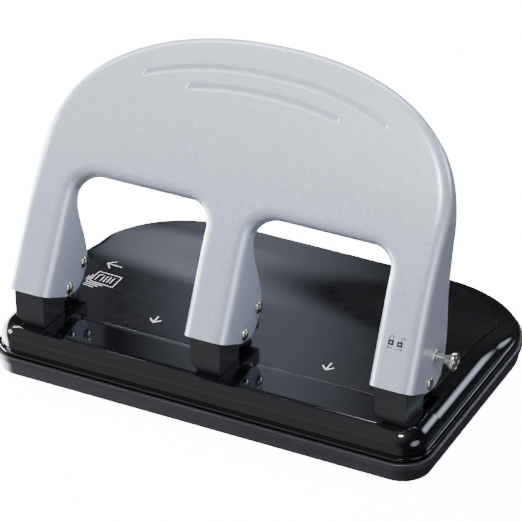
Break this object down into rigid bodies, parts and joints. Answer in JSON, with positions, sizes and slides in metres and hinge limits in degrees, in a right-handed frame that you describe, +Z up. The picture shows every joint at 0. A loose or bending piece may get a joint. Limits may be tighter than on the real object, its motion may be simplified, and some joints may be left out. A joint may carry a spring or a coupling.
{
  "type": "three-hole punch",
  "caption": "Desktop three-hole paper punch with a wide pressed lever on three punch heads, a glossy base with a paper plate, and a chip tray underneath.",
  "frame": {"origin": "centre of the chip tray's underside, on the surface that the punch stands on", "axes": "+X to the right along the row of heads, +Y to the back where the paper lies, +Z up"},
  "size_m": [0.2631, 0.1798, 0.1758],
  "materials": {
    "lever_silver": "silver metallic paint",
    "cover_gloss": "high-gloss black",
    "plate_gloss": "high-gloss black with printed white marks",
    "tray_matte": "satin black moulded",
    "head_black": "satin black",
    "nickel": "nickel plated",
    "tool_steel": "ground",
    "spring_steel": "drawn wire",
    "frame_steel": "zinc plated sheet",
    "zinc_screw": "zinc plated"
  },
  "bodies": {
    "base": {"base_cover": "cover_gloss", "paper_plate": "plate_gloss", "base_frame": "frame_steel", "die_left": "tool_steel", "die_centre": "tool_steel", "die_right": "tool_steel", "punch_head_left": "head_black", "punch_head_centre": "head_black", "punch_head_right": "head_black", "pivot_pin_left": "nickel", "pivot_pin_centre": "nickel", "pivot_pin_right": "nickel", "return_spring_left": "spring_steel", "return_spring_centre": "spring_steel", "return_spring_right": "spring_steel", "head_screw_1": "zinc_screw", "head_screw_2": "zinc_screw", "head_screw_3": "zinc_screw", "head_screw_4": "zinc_screw", "head_screw_5": "zinc_screw", "head_screw_6": "zinc_screw", "frame_screw_1": "zinc_screw", "frame_screw_2": "zinc_screw", "frame_screw_3": "zinc_screw", "frame_screw_4": "zinc_screw"},
    "lever": {"lever": "lever_silver", "lock_bush": "lever_silver", "drive_pin_left": "nickel", "drive_pin_centre": "nickel", "drive_pin_right": "nickel"},
    "lock_pin": {"lock_pin": "nickel"},
    "punch_rod_left": {"punch_rod_left": "tool_steel"},
    "punch_rod_centre": {"punch_rod_centre": "tool_steel"},
    "punch_rod_right": {"punch_rod_right": "tool_steel"},
    "chip_tray": {"chip_tray": "tray_matte"}
  },
  "joints": [
    {"name": "lever_hinge", "type": "hinge", "parent": "base", "child": "lever", "pos_m": [0, -0.05545, 0.0431], "axis": [-1, 0, 0], "range_deg": [0, 32], "stiffness_Nm_per_rad": 0.9, "springref_deg": -34.38, "deforming": ["return_spring_left", "return_spring_centre", "return_spring_right"]},
    {"name": "rod_slide_left", "type": "slide", "parent": "base", "child": "punch_rod_left", "axis": [0, 0, -1], "range_m": [0, 0.00978]},
    {"name": "rod_slide_centre", "type": "slide", "parent": "base", "child": "punch_rod_centre", "axis": [0, 0, -1], "range_m": [0, 0.00978]},
    {"name": "rod_slide_right", "type": "slide", "parent": "base", "child": "punch_rod_right", "axis": [0, 0, -1], "range_m": [0, 0.00978]},
    {"name": "lock_slide", "type": "slide", "parent": "lever", "child": "lock_pin", "axis": [-1, 0, 0], "range_m": [0, 0.005]},
    {"name": "tray_slide", "type": "slide", "parent": "base", "child": "chip_tray", "axis": [0, 0, -1], "range_m": [0, 0.03]}
  ],
  "couplings": [
    {"joint": "rod_slide_left", "follows": "lever_hinge", "m_per_rad": 0.017394},
    {"joint": "rod_slide_centre", "follows": "lever_hinge", "m_per_rad": 0.017394},
    {"joint": "rod_slide_right", "follows": "lever_hinge", "m_per_rad": 0.017394}
  ]
}
